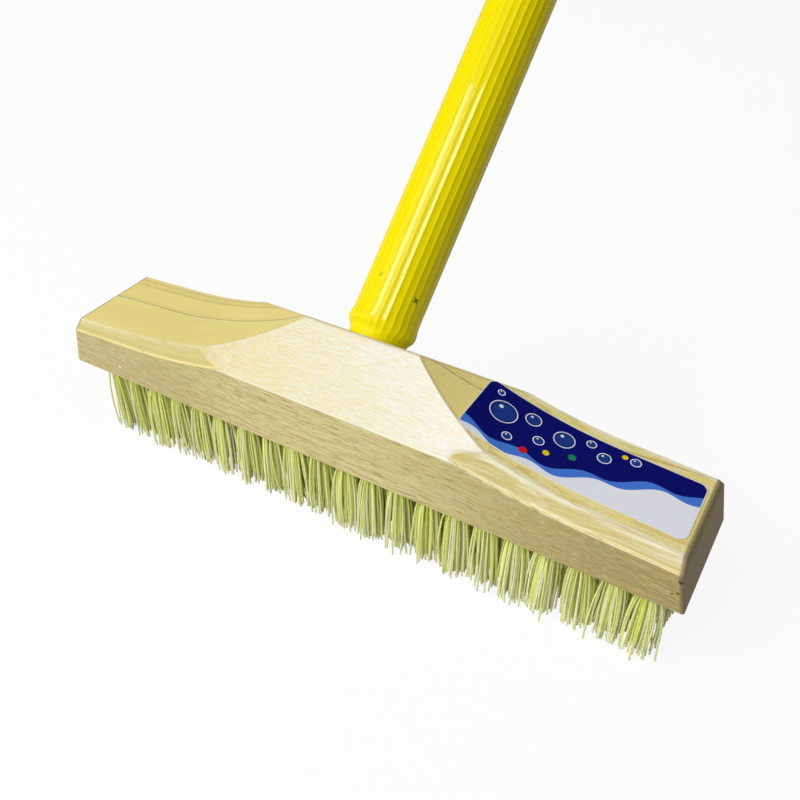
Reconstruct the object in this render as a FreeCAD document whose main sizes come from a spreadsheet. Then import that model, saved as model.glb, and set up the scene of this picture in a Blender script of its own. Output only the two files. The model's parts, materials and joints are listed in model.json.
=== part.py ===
import FreeCAD, Part
import os
import re

import Sketcher

# Floor scrub brush: a scooped wooden block, five rows of tufts and a screw-in handle.
# Millimetres, +Z up. The origin is the centre of the plane of the bristle tips,
# X runs along the block and the handle leans back towards +Y.

SIZES = {
    # block
    "block_length": 240.0,
    "block_width": 43.2,
    "side_height": 22.8,
    "ridge_height": 40.8,
    "end_angle": 12.3,
    "ridge_round": 1.6,
    "left_round": 2.5,
    "right_round": 0.8,
    "end_round": 0.7,
    "base_round": 0.5,
    # scooped shoulders at both ends of the block
    "scoop_end_height": 17.8,
    "scoop_incline": 4.7,
    "scoop_run": 33.5,
    "scoop_radius": 159.0,
    # hollow rims along both sides of the scoops
    "rim_end_height": 14.4,
    "rim_incline": 3.4,
    "rim_radius": 215.0,
    "rim_lip": 1.0,
    "rim_width": 5.6,
    "rim_rise": 8.0,
    "rim_hollow": 14.0,
    # bristles and the flat wire anchors that hold them
    "bristle_length": 28.0,
    "tuft_radius": 2.7,
    "tip_flare": 1.1,
    "tuft_depth": 9.0,
    "tuft_count": 21,
    "tuft_margin": 14.0,
    "tuft_shift": 3.0,
    "row_margin": 5.6,
    "anchor_length": 4.6,
    "anchor_thickness": 0.4,
    "anchor_height": 2.0,
    # label on the right-hand scoop
    "label_length": 72.4,
    "label_width": 25.4,
    "label_inset": 6.0,
    "label_thickness": 0.15,
    "label_gap": 0.15,
    "label_corner": 3.0,
    # handle socket
    "handle_lean": 48.8,
    "handle_setback": 9.4,
    "socket_depth": 18.0,
    "socket_clearance": 0.2,
    "mouth_clearance": 0.3,
    "seat_depth": 0.4,
    "seat_gap": 0.1,
    # steel tube with its necked end, and the plastic sleeve on it
    "tube_length": 1200.0,
    "tube_diameter": 22.2,
    "tube_wall": 0.5,
    "neck_diameter": 19.3,
    "neck_rise": 1.4,
    "shoulder_rise": 2.8,
    "sleeve_wall": 0.33,
    # threaded plug in the necked end
    "plug_length": 38.0,
    "plug_clearance": 0.06,
    "plug_end_gap": 0.8,
    "plug_chamfer": 1.5,
    "thread_core": 16.6,
    "thread_crest": 18.6,
    "thread_pitch": 4.0,
    "thread_flat": 1.0,
    "thread_root": 2.2,
    # hanging cap on the far end
    "cap_grip": 26.0,
    "cap_wall": 1.6,
    "cap_height": 36.0,
    "cap_collar": 7.0,
    "cap_tip_diameter": 13.0,
    "cap_tab": 11.0,
    "hang_hole": 8.0,
    "hang_inset": 12.0,
}

ROWS = 5
# How far cuts run past the faces that they leave through.
OVERRUN = 5.0
# Points along an edge that are looked at to tell where it lies.
SAMPLES = 5

# Formulas of the sizes above; a sheet cell stands behind every name in them.
SLOPE = "((ridge_height - side_height) / (block_width / 2))"
SEAT_Y = "handle_setback"
SEAT_Z = f"(bristle_length + ridge_height - handle_setback * {SLOPE})"
TILT = f"tan(abs(handle_lean * 1 deg - atan({SLOPE})))"
NECK = "(neck_diameter / 2)"
TUBE = "(tube_diameter / 2)"
SLEEVE = f"({TUBE} + sleeve_wall)"
NECK_SLEEVE = f"({NECK} + sleeve_wall)"
TUBE_FOOT = f"(-(seat_depth + {NECK_SLEEVE} * {TILT}))"
NECK_TOP = f"(neck_rise + {NECK_SLEEVE} * {TILT})"
SHOULDER_TOP = f"({NECK_TOP} + shoulder_rise)"
TUBE_TOP = f"({TUBE_FOOT} + tube_length)"
PLUG_FOOT = "(-(socket_depth - plug_end_gap))"
TUFT_PITCH = "((block_length - 2 * tuft_margin) / (tuft_count - 1))"
SCOOP_START_X = f"(block_length / 2 + {OVERRUN})"
SCOOP_START_Z = f"(scoop_end_height - {OVERRUN} * tan(scoop_incline))"
SCOOP_BEND_X = "(block_length / 2 - scoop_run)"
SCOOP_BEND_Z = "(scoop_end_height + scoop_run * tan(scoop_incline))"
SCOOP_CENTRE_X = f"({SCOOP_BEND_X} + scoop_radius * sin(scoop_incline))"
SCOOP_CENTRE_Z = f"({SCOOP_BEND_Z} + scoop_radius * cos(scoop_incline))"
RIM_START_Z = f"(rim_end_height - {OVERRUN} * tan(rim_incline))"

doc = FreeCAD.newDocument("scrub_brush")
sheet = doc.addObject("Spreadsheet::Sheet", "Sizes")
for line, (alias, size) in enumerate(SIZES.items(), start=1):
    sheet.set(f"A{line}", alias)
    sheet.set(f"B{line}", str(size))
    sheet.setAlias(f"B{line}", alias)
doc.recompute()
parts = []


def cell(formula):
    """Return a formula with each size's name pointing at its cell in the sheet."""
    return re.sub(r"[a-z_]+", lambda word: f"Sizes.{word[0]}" if word[0] in SIZES else word[0], formula)


def number(formula):
    """Return the value of a formula of the sizes."""
    return float(sheet.evalExpression(cell(formula)))


def new_body(name):
    """Return an empty body that will be written out as one part."""
    body = doc.addObject("PartDesign::Body", name)
    body.Label = name
    parts.append(body)
    return body


def origin_plane(body, role):
    """Return the body's own origin plane with the given role."""
    return next(plane for plane in body.Origin.OriginFeatures if plane.Role == role)


def bind(target, **formulas):
    """Tie properties of an object to formulas; a double underscore stands for a dot."""
    for name, formula in formulas.items():
        target.setExpression(name.replace("__", "."), cell(formula))


def new_sketch(body, name, role):
    """Return an empty sketch on one of the body's origin planes."""
    sketch = body.newObject("Sketcher::SketchObject", name)
    sketch.AttachmentSupport = [(origin_plane(body, role), "")]
    sketch.MapMode = "FlatFace"
    return sketch


def point(spot):
    """Return the point of a sketch that a pair of formulas gives."""
    return FreeCAD.Vector(*[number(formula) for formula in spot], 0)


def pin_point(sketch, index, end, spot):
    """Fix one end of a sketch element at a pair of formulas, measured from the sketch's origin."""
    for kind, formula in zip(("DistanceX", "DistanceY"), spot):
        row = sketch.addConstraint(Sketcher.Constraint(kind, -1, 1, index, end, number(formula)))
        label = f"at_{row}"
        sketch.renameConstraint(row, label)
        sketch.setExpression(f"Constraints.{label}", cell(formula))


def set_radius(sketch, index, radius):
    """Tie the radius of a sketch's arc or circle to a formula."""
    row = sketch.addConstraint(Sketcher.Constraint("Radius", index, number(radius)))
    label = f"radius_{row}"
    sketch.renameConstraint(row, label)
    sketch.setExpression(f"Constraints.{label}", cell(radius))


def add_circle(sketch, spot, radius):
    """Add a circle whose centre and radius are given by formulas."""
    index = sketch.addGeometry(Part.Circle(point(spot), FreeCAD.Vector(0, 0, 1), number(radius)))
    set_radius(sketch, index, radius)
    pin_point(sketch, index, 3, spot)


def add_arc(sketch, start, end, radius, turn):
    """Add an arc from start to end; turn is 1 for an arc that bends left and -1 for right."""
    first = point(start)
    last = point(end)
    size = number(radius)
    chord = last - first
    across = FreeCAD.Vector(-chord.y, chord.x, 0).normalize()
    sagitta = size - (size**2 - (chord.Length / 2) ** 2) ** 0.5
    middle = (first + last) / 2 - across * sagitta * turn
    index = sketch.addGeometry(Part.Arc(first, middle, last))
    set_radius(sketch, index, radius)
    return index


def draw(sketch, points, arcs=None, closed=True):
    """Draw a chain of lines and arcs through points given as pairs of formulas.

    arcs gives, for the index of a point, the radius and turn of the arc that leaves it.
    """
    arcs = arcs or {}
    spans = list(zip(points, points[1:] + points[:1]))
    for step, (start, end) in enumerate(spans if closed else spans[:-1]):
        if step in arcs:
            index = add_arc(sketch, start, end, *arcs[step])
            ends = (2, 1) if arcs[step][1] < 0 else (1, 2)
        else:
            index = sketch.addGeometry(Part.LineSegment(point(start), point(end)))
            ends = (1, 2)
        pin_point(sketch, index, ends[0], start)
        pin_point(sketch, index, ends[1], end)
    return sketch


def add_feature(body, kind, name, profile, **settings):
    """Add a sketch-based feature to a body and make it current."""
    feature = body.newObject(f"PartDesign::{kind}", name)
    feature.Profile = profile
    for key, setting in settings.items():
        setattr(feature, key, setting)
    profile.Visibility = False
    return feature


def revolve(body, name, points, arcs=None):
    """Turn a half section, given as radius and height, about the body's Z axis."""
    sketch = draw(new_sketch(body, f"{name}_section", "XZ_Plane"), points, arcs)
    return add_feature(body, "Revolution", name, sketch, ReferenceAxis=(sketch, ["V_Axis"]), Angle=360.0)


def pattern(body, name, originals, sketch, count):
    """Repeat features along the block at the tufts' pitch."""
    row = body.newObject("PartDesign::LinearPattern", name)
    row.Originals = originals
    row.Direction = (sketch, ["H_Axis"])
    bind(row, Length=f"({count} - 1) * {TUFT_PITCH}", Occurrences=count)
    body.Tip = row
    return row


def round_edges(body, name, base, radius, wanted):
    """Fillet the edges of a feature for which wanted(edge) is true."""
    doc.recompute()
    names = [f"Edge{i}" for i, edge in enumerate(base.Shape.Edges, start=1) if wanted(edge)]
    fillet = body.newObject("PartDesign::Fillet", name)
    fillet.Base = (base, names)
    bind(fillet, Radius=radius)
    return fillet


def near(first, second):
    """Tell whether two lengths are the same but for rounding."""
    return abs(first - second) < 1e-4


def lies_on_ridge(edge):
    """Tell whether an edge of the block is its ridge."""
    ridge_z = number("ridge_height")
    return all(near(spot.z, ridge_z) for spot in edge.discretize(SAMPLES))


def lies_on_base(edge):
    """Tell whether an edge of the block runs round its underside."""
    return all(near(spot.z, 0) for spot in edge.discretize(SAMPLES))


def lies_on_end(edge):
    """Tell whether an edge of the block lies in one of its slanted end faces."""
    slant = number("tan(end_angle)")
    end_x = number("block_length / 2")
    return all(near(abs(spot.x) + spot.z * slant, end_x) for spot in edge.discretize(SAMPLES))


def is_end_corner(edge):
    """Tell whether an edge of the block stands between a slanted end and a long side."""
    side_y = number("block_width / 2")
    return lies_on_end(edge) and all(near(abs(spot.y), side_y) for spot in edge.discretize(SAMPLES))


def is_left_corner(edge):
    """Tell whether an edge of the block stands at a corner of its left end."""
    return is_end_corner(edge) and edge.BoundBox.XMax < 0


def is_right_corner(edge):
    """Tell whether an edge of the block stands at a corner of its right end."""
    return is_end_corner(edge) and edge.BoundBox.XMin > 0


def crosses_end_top(edge):
    """Tell whether an edge of the block is part of the upper rim of a slanted end."""
    return lies_on_end(edge) and all(spot.z > OVERRUN for spot in edge.discretize(SAMPLES))


def set_on_handle(body):
    """Stand a body on the handle's axis, with its origin where that axis leaves the block."""
    lean = FreeCAD.Rotation(FreeCAD.Vector(1, 0, 0), -1)
    body.Placement = FreeCAD.Placement(FreeCAD.Vector(), lean)
    bind(body, Placement__Base__y=SEAT_Y, Placement__Base__z=SEAT_Z)
    bind(body, Placement__Rotation__Angle="-handle_lean")


def tuft_count(row):
    """Return the formula for the number of tufts in a row; every second row has one less."""
    return "tuft_count" if row % 2 == 0 else "(tuft_count - 1)"


def first_tuft(row):
    """Return the formulas for the place of a row's first tuft."""
    start_x = "tuft_margin + tuft_shift - block_length / 2"
    if row % 2:
        start_x = f"{start_x} + {TUFT_PITCH} / 2"
    return start_x, f"(block_width - 2 * row_margin) * ({row} / {ROWS - 1} - 0.5)"


def scoop_height(place):
    """Return the formula for the height of the scoop's curved part at a place along X."""
    return f"({SCOOP_CENTRE_Z} - sqrt(scoop_radius^2 - ({SCOOP_CENTRE_X} - {place})^2))"


def end_path(body, name, top):
    """Draw the path of a cut into the right end of the block, named after its sizes, up to a height."""
    incline = f"{name}_incline"
    radius = f"{name}_radius"
    start_z = f"({name}_end_height - {OVERRUN} * tan({incline}))"
    bend_z = f"({name}_end_height + scoop_run * tan({incline}))"
    centre_x = f"({SCOOP_BEND_X} + {radius} * sin({incline}))"
    centre_z = f"({bend_z} + {radius} * cos({incline}))"
    reach = f"sqrt({radius}^2 - ({centre_z} - {top})^2)"
    return draw(
        new_sketch(body, f"{name}_path", "XZ_Plane"),
        [(SCOOP_START_X, start_z), (SCOOP_BEND_X, bend_z), (f"{centre_x} - {reach}", top)],
        arcs={1: (radius, -1)},
        closed=False,
    )


def cut_end(body, name, path, points, arcs=None):
    """Sweep a section, drawn outside the right end of the block, along a path and cut it away."""
    section = new_sketch(body, f"{name}_section", "YZ_Plane")
    bind(section, AttachmentOffset__Base__z=SCOOP_START_X)
    draw(section, points, arcs)
    cut = add_feature(body, "SubtractivePipe", name, section, Spine=(path, ["Edge1", "Edge2"]))
    path.Visibility = False
    return cut


def make_scoops(body):
    """Cut the scoop and its hollow rims out of the right end of the block, and mirror them."""
    side = "(block_width / 2)"
    outside = f"({side} + {OVERRUN})"
    above = f"({SCOOP_START_Z} + 2 * ridge_height)"
    scoop = cut_end(
        body,
        "scoop",
        end_path(body, "scoop", f"(ridge_height + {OVERRUN})"),
        [
            (f"-{outside}", SCOOP_START_Z),
            (outside, SCOOP_START_Z),
            (outside, above),
            (f"-{outside}", above),
        ],
    )
    crest = f"({side} - rim_width)"
    crest_z = f"({RIM_START_Z} + rim_rise)"
    roof_z = f"({RIM_START_Z} + side_height)"
    lip = f"({side} - rim_lip)"
    rims = cut_end(
        body,
        "rim",
        end_path(body, "rim", f"(side_height + {OVERRUN})"),
        [
            (f"-{crest}", roof_z),
            (crest, roof_z),
            (crest, crest_z),
            (lip, RIM_START_Z),
            (outside, RIM_START_Z),
            (outside, above),
            (f"-{outside}", above),
            (f"-{outside}", RIM_START_Z),
            (f"-{lip}", RIM_START_Z),
            (f"-{crest}", crest_z),
        ],
        arcs={2: ("rim_hollow", 1), 8: ("rim_hollow", 1)},
    )
    both = body.newObject("PartDesign::Mirrored", "scoops")
    both.Originals = [scoop, rims]
    both.MirrorPlane = (origin_plane(body, "YZ_Plane"), [""])
    body.Tip = both
    return both


def make_tuft_holes(body):
    """Drill the blind holes for the tufts into the underside of the block."""
    for parity, name in enumerate(("outer", "inner")):
        sketch = new_sketch(body, f"{name}_holes_plan", "XY_Plane")
        for row in range(parity, ROWS, 2):
            add_circle(sketch, first_tuft(row), "tuft_radius")
        holes = add_feature(body, "Pocket", f"{name}_holes", sketch, Reversed=True)
        bind(holes, Length="tuft_depth")
        pattern(body, f"{name}_hole_rows", [holes], sketch, tuft_count(parity))


def make_socket(body):
    """Bore the leaning socket for the handle, with a wider mouth for its neck."""
    bore = "(thread_crest / 2 + socket_clearance)"
    mouth = f"({NECK_SLEEVE} + mouth_clearance)"
    shelf = f"({TUBE_FOOT} - seat_gap)"
    sketch = new_sketch(body, "socket_section", "YZ_Plane")
    lean = FreeCAD.Rotation(FreeCAD.Vector(0, 0, 1), -1)
    sketch.AttachmentOffset = FreeCAD.Placement(FreeCAD.Vector(), lean)
    bind(sketch, AttachmentOffset__Base__x=SEAT_Y, AttachmentOffset__Base__y=f"{SEAT_Z} - bristle_length")
    bind(sketch, AttachmentOffset__Rotation__Angle="-handle_lean")
    draw(
        sketch,
        [
            ("0", "-socket_depth"),
            (bore, "-socket_depth"),
            (bore, shelf),
            (mouth, shelf),
            (mouth, "ridge_height"),
            ("0", "ridge_height"),
        ],
    )
    add_feature(body, "Groove", "socket", sketch, ReferenceAxis=(sketch, ["V_Axis"]), Angle=360.0)


def make_block():
    """Make the wooden block: a roof-shaped bar with slanted ends, scoops, holes and socket."""
    body = new_body("brush_block")
    bind(body, Placement__Base__z="bristle_length")
    half = "(block_length / 2)"
    top = f"({half} - ridge_height * tan(end_angle))"
    side = draw(
        new_sketch(body, "bar_side", "XZ_Plane"),
        [(f"-{half}", "0"), (half, "0"), (top, "ridge_height"), (f"-{top}", "ridge_height")],
    )
    bar = add_feature(body, "Pad", "bar", side, SideType="Symmetric")
    bind(bar, Length="block_width")
    left_corners = round_edges(body, "left_corners", bar, "left_round", is_left_corner)
    round_edges(body, "right_corners", left_corners, "right_round", is_right_corner)

    edge_y = f"(block_width / 2 + {OVERRUN})"
    edge_z = f"(ridge_height - {edge_y} * {SLOPE})"
    above = f"(ridge_height + {OVERRUN})"
    roof = draw(
        new_sketch(body, "roof_section", "YZ_Plane"),
        [
            ("0", "ridge_height"),
            (edge_y, edge_z),
            (edge_y, above),
            (f"-{edge_y}", above),
            (f"-{edge_y}", edge_z),
        ],
    )
    slopes = add_feature(body, "Pocket", "slopes", roof, SideType="Symmetric", Type="ThroughAll")
    round_edges(body, "ridge", slopes, "ridge_round", lies_on_ridge)
    scoops = make_scoops(body)
    end_tops = round_edges(body, "end_tops", scoops, "end_round", crosses_end_top)
    round_edges(body, "base_edges", end_tops, "base_round", lies_on_base)
    make_tuft_holes(body)
    make_socket(body)
    return body


def make_tuft_row(row):
    """Make one row of tufts, each flared towards its tips and slotted for its anchor."""
    body = new_body(f"tuft_row_{row + 1}")
    start_x, start_y = first_tuft(row)
    bind(body, Placement__Base__x=start_x, Placement__Base__y=start_y)
    top = "(bristle_length + tuft_depth)"
    tuft = revolve(
        body,
        "tuft",
        [
            ("0", "0"),
            ("tuft_radius + tip_flare", "0"),
            ("tuft_radius", "bristle_length"),
            ("tuft_radius", top),
            ("0", top),
        ],
    )
    slot = draw(new_sketch(body, "slot_plan", "YZ_Plane"), anchor_outline(top))
    cut = add_feature(body, "Pocket", "anchor_slot", slot, SideType="Symmetric")
    bind(cut, Length="anchor_thickness")
    pattern(body, "tufts", [tuft, cut], tuft.Profile[0], tuft_count(row))
    return body


def anchor_outline(top):
    """Return the corners of an anchor's face below the top of a tuft hole."""
    half = "(anchor_length / 2)"
    foot = f"({top} - anchor_height)"
    return [(f"-{half}", foot), (half, foot), (half, top), (f"-{half}", top)]


def make_anchor_row(row):
    """Make the flat wire anchors that pin one row of tufts at the bottom of their holes."""
    body = new_body(f"anchor_row_{row + 1}")
    start_x, start_y = first_tuft(row)
    bind(body, Placement__Base__x=start_x, Placement__Base__y=start_y)
    outline = anchor_outline("(bristle_length + tuft_depth)")
    face = draw(new_sketch(body, "anchor_face", "YZ_Plane"), outline)
    anchor = add_feature(body, "Pad", "anchor", face, SideType="Symmetric")
    bind(anchor, Length="anchor_thickness")
    run = new_sketch(body, "anchor_run", "XY_Plane")
    pattern(body, "anchors", [anchor], run, tuft_count(row))
    return body


def label_line(height):
    """Return the ends and the bend of the scoop's floor under the label, raised along its normal."""
    far_x = "(block_length / 2 - label_inset)"
    far_z = "(scoop_end_height + label_inset * tan(scoop_incline))"
    near_x = f"({far_x} - label_length)"
    near_z = scoop_height(near_x)
    share = f"({height} / scoop_radius)"
    rise_x = f"({height} * sin(scoop_incline))"
    rise_z = f"({height} * cos(scoop_incline))"
    return [
        (f"{near_x} + {share} * ({SCOOP_CENTRE_X} - {near_x})", f"{near_z} + {share} * ({SCOOP_CENTRE_Z} - {near_z})"),
        (f"{SCOOP_BEND_X} + {rise_x}", f"{SCOOP_BEND_Z} + {rise_z}"),
        (f"{far_x} + {rise_x}", f"{far_z} + {rise_z}"),
    ]


def make_label():
    """Make the label, a thin sheet that follows the floor of the right-hand scoop on a film of glue."""
    body = new_body("label")
    bind(body, Placement__Base__z="bristle_length")
    underside = "label_gap"
    top = "(label_gap + label_thickness)"
    side = draw(
        new_sketch(body, "label_side", "XZ_Plane"),
        label_line(underside) + label_line(top)[::-1],
        arcs={0: (f"scoop_radius - {underside}", 1), 4: (f"scoop_radius - {top}", -1)},
    )
    film = add_feature(body, "Pad", "film", side, SideType="Symmetric")
    bind(film, Length="label_width")
    thin = number("label_thickness")
    round_edges(body, "label_corners", film, "label_corner", lambda edge: near(edge.Length, thin))
    return body


def make_handle_tube():
    """Make the steel tube, whose lower end is drawn in to a neck."""
    body = new_body("handle_tube")
    revolve(
        body,
        "tube",
        [
            (NECK, TUBE_FOOT),
            (NECK, NECK_TOP),
            (TUBE, SHOULDER_TOP),
            (TUBE, TUBE_TOP),
            (f"{TUBE} - tube_wall", TUBE_TOP),
            (f"{TUBE} - tube_wall", SHOULDER_TOP),
            (f"{NECK} - tube_wall", NECK_TOP),
            (f"{NECK} - tube_wall", TUBE_FOOT),
        ],
    )
    set_on_handle(body)
    return body


def make_handle_sleeve():
    """Make the thin plastic sleeve that covers the tube and its neck."""
    body = new_body("handle_sleeve")
    revolve(
        body,
        "sleeve",
        [
            (NECK, TUBE_FOOT),
            (NECK_SLEEVE, TUBE_FOOT),
            (NECK_SLEEVE, NECK_TOP),
            (SLEEVE, SHOULDER_TOP),
            (SLEEVE, TUBE_TOP),
            (TUBE, TUBE_TOP),
            (TUBE, SHOULDER_TOP),
            (NECK, NECK_TOP),
        ],
    )
    set_on_handle(body)
    return body


def make_screw_plug():
    """Make the plug held in the tube's neck, with the coarse thread that screws into the block."""
    body = new_body("screw_plug")
    core = "(thread_core / 2)"
    in_neck = f"({NECK} - tube_wall - plug_clearance)"
    in_tube = f"({TUBE} - tube_wall - plug_clearance)"
    revolve(
        body,
        "plug",
        [
            ("0", PLUG_FOOT),
            (f"{core} - plug_chamfer", PLUG_FOOT),
            (core, f"{PLUG_FOOT} + plug_chamfer"),
            (core, TUBE_FOOT),
            (in_neck, TUBE_FOOT),
            (in_neck, NECK_TOP),
            (in_tube, SHOULDER_TOP),
            (in_tube, f"{TUBE_FOOT} + plug_length"),
            ("0", f"{TUBE_FOOT} + plug_length"),
        ],
    )
    start = f"({PLUG_FOOT} + plug_chamfer)"
    slant = "((thread_root - thread_flat) / 2)"
    buried = f"({core} - plug_chamfer / 4)"
    crest = "(thread_crest / 2)"
    section = draw(
        new_sketch(body, "thread_section", "XZ_Plane"),
        [
            (buried, start),
            (crest, f"{start} + {slant}"),
            (crest, f"{start} + {slant} + thread_flat"),
            (buried, f"{start} + thread_root"),
        ],
    )
    thread = add_feature(body, "AdditiveHelix", "thread", section, ReferenceAxis=(section, ["V_Axis"]))
    thread.Mode = "pitch-height-angle"
    bind(thread, Pitch="thread_pitch", Height=f"{TUBE_FOOT} - {start} - thread_root - seat_gap")
    set_on_handle(body)
    return body


def make_hang_cap():
    """Make the cap on the handle's far end, with a flattened tip and a hole to hang it by."""
    body = new_body("hang_cap")
    outside = f"({SLEEVE} + cap_wall)"
    tip = "(cap_tip_diameter / 2)"
    crown = f"({TUBE_TOP} + cap_height)"
    revolve(
        body,
        "cap",
        [
            ("0", TUBE_TOP),
            (SLEEVE, TUBE_TOP),
            (SLEEVE, f"{TUBE_TOP} - cap_grip"),
            (outside, f"{TUBE_TOP} - cap_grip"),
            (outside, f"{TUBE_TOP} + cap_collar"),
            (tip, f"{crown} - {tip} / 2"),
            (f"{tip} / 2", crown),
            ("0", crown),
        ],
    )
    flats = new_sketch(body, "tab_sides", "XZ_Plane")
    foot = f"({TUBE_TOP} + cap_collar)"
    above = f"({crown} + {OVERRUN})"
    for sign in ("", "-"):
        inner = f"{sign}(cap_tab / 2)"
        outer = f"{sign}({outside} + {OVERRUN})"
        draw(flats, [(inner, foot), (outer, foot), (outer, above), (inner, above)])
    add_feature(body, "Pocket", "tab", flats, SideType="Symmetric", Type="ThroughAll")
    hole = new_sketch(body, "hang_hole_plan", "YZ_Plane")
    add_circle(hole, ("0", f"{crown} - hang_inset"), "hang_hole / 2")
    add_feature(body, "Pocket", "hole", hole, SideType="Symmetric", Type="ThroughAll")
    set_on_handle(body)
    return body


make_block()
make_label()
for place in range(ROWS):
    make_tuft_row(place)
    make_anchor_row(place)
make_handle_tube()
make_handle_sleeve()
make_screw_plug()
make_hang_cap()
doc.recompute()

faults = [item.Name for item in doc.Objects if {"Invalid", "Error"} & set(item.State)]
faults += [body.Label for body in parts if body.Shape.isNull() or not body.Shape.isValid()]
if faults:
    raise RuntimeError(f"these objects failed: {faults}")

os.makedirs("parts", exist_ok=True)
for body in parts:
    body.Shape.exportStep(os.path.join("parts", f"{body.Label}.step"))
    box = body.Shape.BoundBox
    print(f"{body.Label}: {len(body.Shape.Solids)} solids, {body.Shape.Volume:.0f} mm3, "
          f"{box.XLength:.1f} x {box.YLength:.1f} x {box.ZLength:.1f} mm")
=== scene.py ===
import json
import logging
import math
import random
from collections.abc import Sequence
from dataclasses import dataclass
from enum import Enum

import bmesh
import bpy
from mathutils import Matrix, Vector, noise


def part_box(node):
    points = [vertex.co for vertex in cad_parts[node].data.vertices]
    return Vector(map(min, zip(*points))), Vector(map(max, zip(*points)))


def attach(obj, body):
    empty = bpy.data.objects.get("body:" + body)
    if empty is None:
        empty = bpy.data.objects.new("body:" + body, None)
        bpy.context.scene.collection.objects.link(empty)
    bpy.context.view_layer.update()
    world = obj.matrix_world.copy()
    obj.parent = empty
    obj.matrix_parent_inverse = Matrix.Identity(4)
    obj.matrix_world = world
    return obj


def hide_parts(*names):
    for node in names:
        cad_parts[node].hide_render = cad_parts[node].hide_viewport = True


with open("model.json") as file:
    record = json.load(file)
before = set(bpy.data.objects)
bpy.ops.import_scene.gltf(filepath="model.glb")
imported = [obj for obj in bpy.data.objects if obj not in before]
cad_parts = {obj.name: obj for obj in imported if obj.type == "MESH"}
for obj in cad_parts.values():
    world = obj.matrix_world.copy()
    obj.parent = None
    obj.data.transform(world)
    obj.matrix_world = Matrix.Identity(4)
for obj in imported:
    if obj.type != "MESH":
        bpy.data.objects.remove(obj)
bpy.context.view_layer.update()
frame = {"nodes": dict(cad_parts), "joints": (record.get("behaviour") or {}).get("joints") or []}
log = logging.getLogger("scrub_brush")

MM = 0.001
Colour = tuple[float, float, float]


class Slot(str, Enum):
    """The record's material slots."""

    WOOD = "wood"
    LABEL = "label"
    BRISTLE = "bristle"
    WIRE = "anchor_wire"
    TUBE = "tube"
    SLEEVE = "sleeve"
    PLUG = "plug"
    CAP = "cap"


class Body(str, Enum):
    """The bodies that pieces ride on."""

    HEAD = "head"
    SCREW = "screw"
    HANDLE = "handle"


class Sock:
    """An output socket that takes part in Python arithmetic."""

    def __init__(self, graph: "Graph", socket: bpy.types.NodeSocket) -> None:
        """Keep the socket and the graph that its Math nodes go to."""
        self.graph = graph
        self.socket = socket

    def __add__(self, other: "Sock | float") -> "Sock":
        """Return the sum."""
        return self.graph.math("ADD", self, other)

    __radd__ = __add__

    def __sub__(self, other: "Sock | float") -> "Sock":
        """Return the difference."""
        return self.graph.math("SUBTRACT", self, other)

    def __rsub__(self, other: float) -> "Sock":
        """Return the difference from a number."""
        return self.graph.math("SUBTRACT", other, self)

    def __mul__(self, other: "Sock | float") -> "Sock":
        """Return the product."""
        return self.graph.math("MULTIPLY", self, other)

    __rmul__ = __mul__

    def __truediv__(self, other: "Sock | float") -> "Sock":
        """Return the quotient."""
        return self.graph.math("DIVIDE", self, other)

    def __pow__(self, other: float) -> "Sock":
        """Return the power."""
        return self.graph.math("POWER", self, other)

    def __abs__(self) -> "Sock":
        """Return the size without its sign."""
        return self.graph.math("ABSOLUTE", self)


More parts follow.
